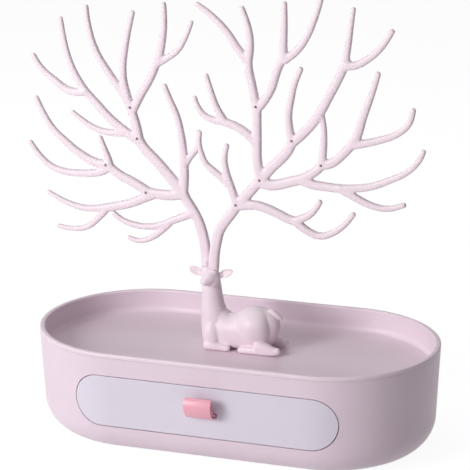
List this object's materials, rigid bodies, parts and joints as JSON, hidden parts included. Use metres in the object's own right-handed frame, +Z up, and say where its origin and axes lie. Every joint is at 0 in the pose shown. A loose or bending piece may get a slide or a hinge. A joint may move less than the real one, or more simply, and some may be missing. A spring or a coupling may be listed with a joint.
{
  "type": "jewelry stand with drawer",
  "caption": "Stadium-shaped jewellery base with an open tray, a pull-out drawer and a lying deer whose branching antlers hold necklaces and earrings.",
  "frame": {"origin": "centre of the shell's flat underside", "axes": "+X along the base to the right as seen from the drawer side, +Y to the back (the drawer opens towards -Y), +Z up"},
  "size_m": [0.2643, 0.1385, 0.2714],
  "materials": {
    "shell_plastic": "satin pink lilac moulded plastic",
    "tray_plastic": "satin pink lilac moulded plastic",
    "figure_plastic": "satin to gloss pink moulded plastic",
    "drawer_plastic": "satin pale lilac moulded plastic",
    "tab_strap": "soft pink strap",
    "screw_steel": "zinc-plated",
    "foot_rubber": "matt grey-pink rubber"
  },
  "bodies": {
    "base": {"outer_shell": "shell_plastic", "tray_insert": "tray_plastic", "tray_screws": "screw_steel", "foot_front_left": "foot_rubber", "foot_rear_left": "foot_rubber", "foot_front_right": "foot_rubber", "foot_rear_right": "foot_rubber", "deer_body": "figure_plastic", "deer_screws": "screw_steel"},
    "drawer": {"drawer_box": "drawer_plastic", "drawer_front": "drawer_plastic", "drawer_front_screws": "screw_steel", "tab_root": "tab_strap", "tab_pin": "screw_steel"},
    "tab": {"pull_tab": "tab_strap"},
    "left_antler": {"antler_left": "figure_plastic"},
    "right_antler": {"antler_right": "figure_plastic"}
  },
  "joints": [
    {"name": "drawer_slide", "type": "slide", "parent": "base", "child": "drawer", "axis": [0, -1, 0], "range_m": [0, 0.085]},
    {"name": "tab_lift", "type": "hinge", "parent": "drawer", "child": "tab", "pos_m": [0, -0.0649, 0.033], "axis": [1, 0, 0], "range_deg": [0, 60], "stiffness_Nm_per_rad": 0.01},
    {"name": "left_antler_lift", "type": "slide", "parent": "base", "child": "left_antler", "axis": [0, 0, 1], "range_m": [0, 0.008]},
    {"name": "right_antler_lift", "type": "slide", "parent": "base", "child": "right_antler", "axis": [0, 0, 1], "range_m": [0, 0.008]}
  ]
}
